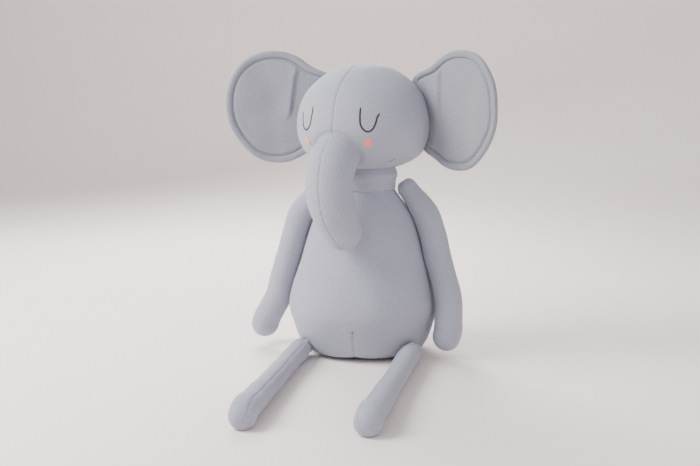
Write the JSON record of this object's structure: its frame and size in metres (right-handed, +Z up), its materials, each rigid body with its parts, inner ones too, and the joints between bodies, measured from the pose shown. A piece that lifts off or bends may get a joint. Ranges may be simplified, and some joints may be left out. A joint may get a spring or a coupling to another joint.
{
  "type": "stuffed elephant",
  "caption": "Sitting knitted plush elephant with a pear-shaped body, curled trunk, big flat ears and long posable arms and legs.",
  "frame": {"origin": "middle of the flat underside of the torso, on the surface it sits on", "axes": "+Z up, the toy faces -Y, its own left is +X"},
  "size_m": [0.4429, 0.5488, 0.4745],
  "materials": {
    "grey_knit": "matte knitted cotton and polyester jersey, light blue-grey",
    "ear_knit": "matte knitted jersey, slightly darker blue-grey",
    "white_fibre": "white polyester fibre filling",
    "grey_thread": "grey sewing thread",
    "black_thread": "black embroidery thread",
    "coral_felt": "coral brushed felt"
  },
  "bodies": {
    "torso": {"torso_front": "grey_knit", "torso_back_left": "grey_knit", "torso_back_right": "grey_knit", "torso_filling": "white_fibre", "belly_dart_thread": "grey_thread", "back_closing_thread": "grey_thread"},
    "neck": {"neck_band": "grey_knit", "neck_filling": "white_fibre"},
    "head": {"face_left": "grey_knit", "face_right": "grey_knit", "head_back": "grey_knit", "head_filling": "white_fibre", "face_seam_thread": "grey_thread", "eye_stitch_left": "black_thread", "eye_stitch_right": "black_thread", "cheek_dot_left": "coral_felt", "cheek_dot_right": "coral_felt", "smile_stitch_left": "black_thread", "smile_stitch_right": "black_thread"},
    "trunk": {"trunk_left": "grey_knit", "trunk_right": "grey_knit", "trunk_filling": "white_fibre", "trunk_seam_thread": "grey_thread"},
    "ear_left": {"ear_left_front": "ear_knit", "ear_left_back": "ear_knit", "ear_left_wadding": "white_fibre", "ear_left_topstitch": "grey_thread"},
    "ear_right": {"ear_right_front": "ear_knit", "ear_right_back": "ear_knit", "ear_right_wadding": "white_fibre", "ear_right_topstitch": "grey_thread"},
    "shoulder_left": {"arm_left_root": "grey_knit"},
    "arm_left": {"arm_left_cover": "grey_knit", "arm_left_filling": "white_fibre", "arm_left_seam": "grey_thread"},
    "shoulder_right": {"arm_right_root": "grey_knit"},
    "arm_right": {"arm_right_cover": "grey_knit", "arm_right_filling": "white_fibre", "arm_right_seam": "grey_thread"},
    "hip_left": {"leg_left_root": "grey_knit"},
    "leg_left": {"leg_left_cover": "grey_knit", "leg_left_filling": "white_fibre", "leg_left_seam": "grey_thread"},
    "hip_right": {"leg_right_root": "grey_knit"},
    "leg_right": {"leg_right_cover": "grey_knit", "leg_right_filling": "white_fibre", "leg_right_seam": "grey_thread"}
  },
  "joints": [
    {"name": "neck_turn", "type": "hinge", "parent": "torso", "child": "neck", "pos_m": [0, 0.008, 0.277], "axis": [0, 0, 1], "range_deg": [-30, 60], "stiffness_Nm_per_rad": 1},
    {"name": "head_nod", "type": "hinge", "parent": "neck", "child": "head", "pos_m": [0, 0.008, 0.277], "axis": [0.9588, -0.284, 0], "range_deg": [-20, 2], "stiffness_Nm_per_rad": 4},
    {"name": "trunk_lift", "type": "hinge", "parent": "head", "child": "trunk", "pos_m": [-0.02727, -0.08405, 0.319], "axis": [-0.9588, 0.284, 0], "range_deg": [-3, 20], "stiffness_Nm_per_rad": 1.5},
    {"name": "ear_left_flap", "type": "hinge", "parent": "head", "child": "ear_left", "pos_m": [0.10252, -0.00151, 0.383], "axis": [0, 0, -1], "range_deg": [-25, 20], "stiffness_Nm_per_rad": 0.4},
    {"name": "ear_right_flap", "type": "hinge", "parent": "head", "child": "ear_right", "pos_m": [-0.09116, 0.05586, 0.383], "axis": [0, 0, 1], "range_deg": [-25, 20], "stiffness_Nm_per_rad": 0.4},
    {"name": "arm_left_swing", "type": "hinge", "parent": "torso", "child": "shoulder_left", "pos_m": [0.07008, 0.008, 0.258], "axis": [-1, 0, 0], "range_deg": [-40, 100]},
    {"name": "arm_left_lift", "type": "hinge", "parent": "shoulder_left", "child": "arm_left", "pos_m": [0.07008, 0.008, 0.258], "axis": [0, -1, 0], "range_deg": [0, 60]},
    {"name": "arm_right_swing", "type": "hinge", "parent": "torso", "child": "shoulder_right", "pos_m": [-0.07008, 0.008, 0.258], "axis": [-1, 0, 0], "range_deg": [-40, 100]},
    {"name": "arm_right_lift", "type": "hinge", "parent": "shoulder_right", "child": "arm_right", "pos_m": [-0.07008, 0.008, 0.258], "axis": [0, 1, 0], "range_deg": [0, 60]},
    {"name": "leg_left_raise", "type": "hinge", "parent": "torso", "child": "hip_left", "pos_m": [0.08628, -0.06569, 0.017], "axis": [-1, 0, 0], "range_deg": [-60, 33]},
    {"name": "leg_left_splay", "type": "hinge", "parent": "hip_left", "child": "leg_left", "pos_m": [0.08628, -0.06569, 0.017], "axis": [0, 0, 1], "range_deg": [-8, 30]},
    {"name": "leg_right_raise", "type": "hinge", "parent": "torso", "child": "hip_right", "pos_m": [-0.08628, -0.06569, 0.017], "axis": [-1, 0, 0], "range_deg": [-60, 33]},
    {"name": "leg_right_splay", "type": "hinge", "parent": "hip_right", "child": "leg_right", "pos_m": [-0.08628, -0.06569, 0.017], "axis": [0, 0, -1], "range_deg": [-8, 30]}
  ]
}
